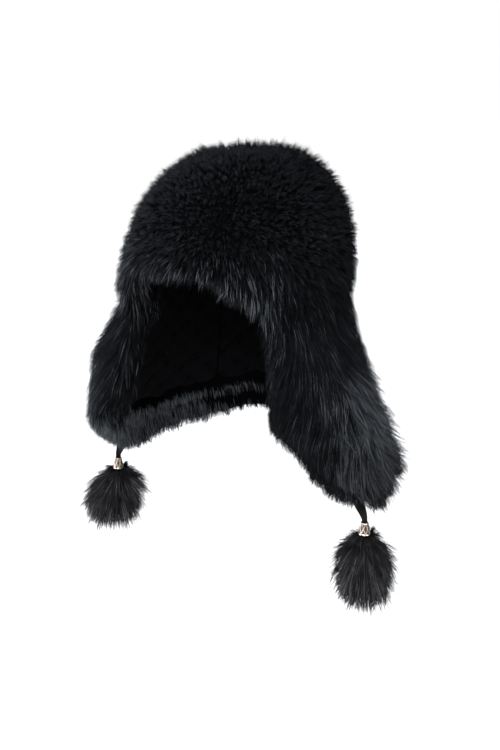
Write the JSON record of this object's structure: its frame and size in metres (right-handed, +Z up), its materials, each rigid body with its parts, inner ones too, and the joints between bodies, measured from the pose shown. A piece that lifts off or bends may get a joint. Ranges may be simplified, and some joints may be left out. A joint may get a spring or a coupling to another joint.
{
  "type": "ushanka",
  "caption": "Deep-fur ushanka as worn, ear flaps down: rounded crown, flared flaps, nape, leather tie straps, cast beads and fur pompoms.",
  "frame": {"origin": "the middle of the crown's inside top, where the hat sits on a head", "axes": "+Z up, the front faces -Y, the wearer's left is +X"},
  "size_m": [0.3751, 0.2724, 0.4335],
  "materials": {
    "fur": "near-black long fur with a cool grey sheen",
    "pompom_fur": "near-black fur, a little browner at the tips",
    "lining": "black padded lining cloth",
    "strap_leather": "flat dark brown-black leather",
    "bead_metal": "antique pale silver-gold cast metal, dark in its recesses"
  },
  "bodies": {
    "root": {"crown_shell": "lining", "crown_fur": "fur", "ear_flap_left_shell": "lining", "ear_flap_left_fur": "fur", "ear_flap_right_shell": "lining", "ear_flap_right_fur": "fur", "nape_shell": "lining", "nape_fur": "fur", "tie_strap_left": "strap_leather", "tie_strap_right": "strap_leather", "bead_left": "bead_metal", "bead_right": "bead_metal", "pompom_left": "pompom_fur", "pompom_right": "pompom_fur"}
  },
  "joints": []
}
